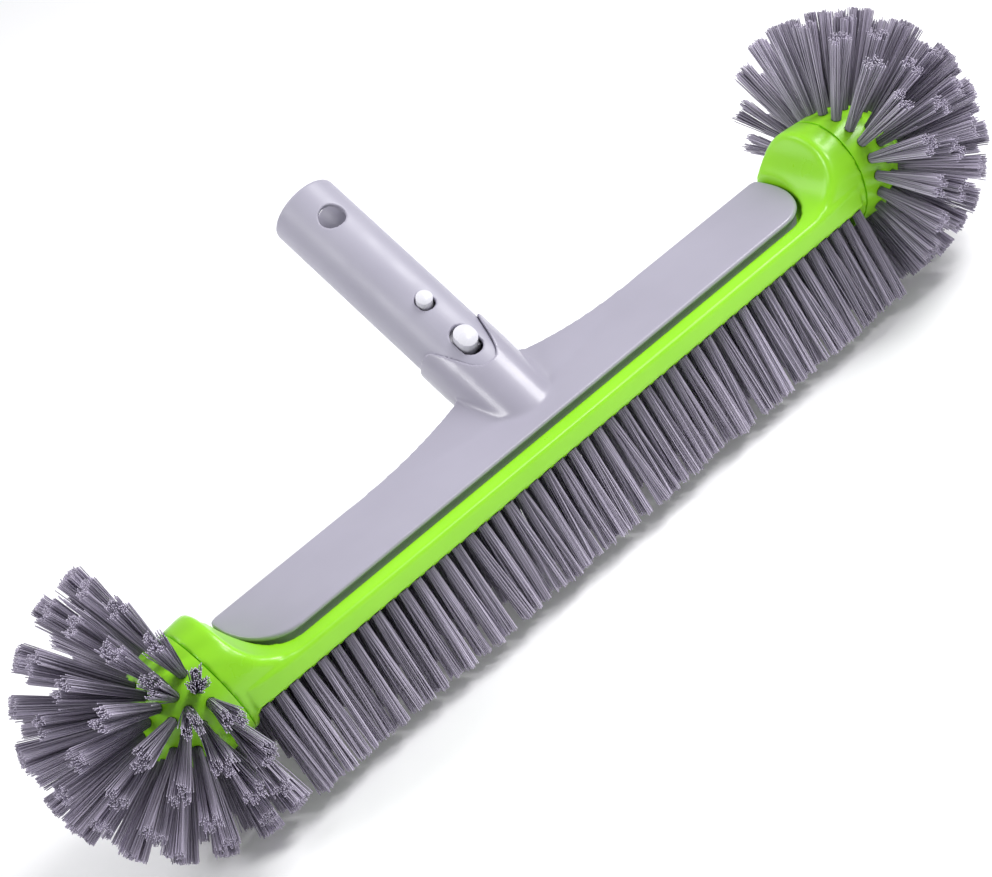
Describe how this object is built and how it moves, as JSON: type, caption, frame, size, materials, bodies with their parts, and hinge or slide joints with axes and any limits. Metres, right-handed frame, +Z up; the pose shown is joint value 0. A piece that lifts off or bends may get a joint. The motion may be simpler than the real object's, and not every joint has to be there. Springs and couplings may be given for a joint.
{
  "type": "pool wall brush",
  "caption": "Long tufted pool wall brush with round tufted ends, a grey back bracket and a tilted hollow spigot with a sprung two-sided lock clip for a telescopic pole.",
  "frame": {"origin": "middle of the plane of the trimmed row tips, under the middle of the board; the tufts of the end domes reach 6.5 mm below it", "axes": "+X along the board, +Z up away from the bristles, the spigot leans back towards +Y"},
  "size_m": [0.4824, 0.186, 0.1462],
  "materials": {
    "green_plastic": "smooth moulded plastic, semi-gloss, lime green",
    "bracket_grey": "moulded plastic with a fine pearl satin finish, silver grey",
    "tube_grey": "fine satin moulded plastic, silver grey",
    "white_plastic": "smooth moulded acetal, white",
    "screw_steel": "stainless screw steel",
    "bristle": "bundled nylon filaments, slate grey, satin"
  },
  "bodies": {
    "brush": {"brush_base": "green_plastic", "back_bracket": "bracket_grey", "handle_tube": "tube_grey", "end_dome_left": "green_plastic", "end_dome_right": "green_plastic", "dome_screws": "screw_steel", "bracket_screws": "screw_steel", "tube_screw": "screw_steel", "clip_bridge": "white_plastic", "bristle_row_front": "bristle", "bristle_row_front_inner": "bristle", "bristle_row_middle": "bristle", "bristle_row_back_inner": "bristle", "bristle_row_back": "bristle", "left_seam_tufts": "bristle", "left_shoulder_tufts": "bristle", "left_cheek_tufts": "bristle", "left_crown_tufts": "bristle", "left_tip_tufts": "bristle", "right_seam_tufts": "bristle", "right_shoulder_tufts": "bristle", "right_cheek_tufts": "bristle", "right_crown_tufts": "bristle", "right_tip_tufts": "bristle"},
    "front_lever": {"clip_leg_front": "white_plastic", "lock_pin_front": "white_plastic", "release_button_front": "white_plastic"},
    "rear_lever": {"clip_leg_rear": "white_plastic", "lock_pin_rear": "white_plastic", "release_button_rear": "white_plastic"}
  },
  "joints": [
    {"name": "front_lever_press", "type": "hinge", "parent": "brush", "child": "front_lever", "pos_m": [0, 0.08384, 0.10986], "axis": [1, 0, 0], "range_deg": [0, 4.7], "stiffness_Nm_per_rad": 5, "springref_deg": -1.72},
    {"name": "rear_lever_press", "type": "hinge", "parent": "brush", "child": "rear_lever", "pos_m": [0, 0.08979, 0.10182], "axis": [-1, 0, 0], "range_deg": [0, 4.7], "stiffness_Nm_per_rad": 5, "springref_deg": -1.72}
  ]
}
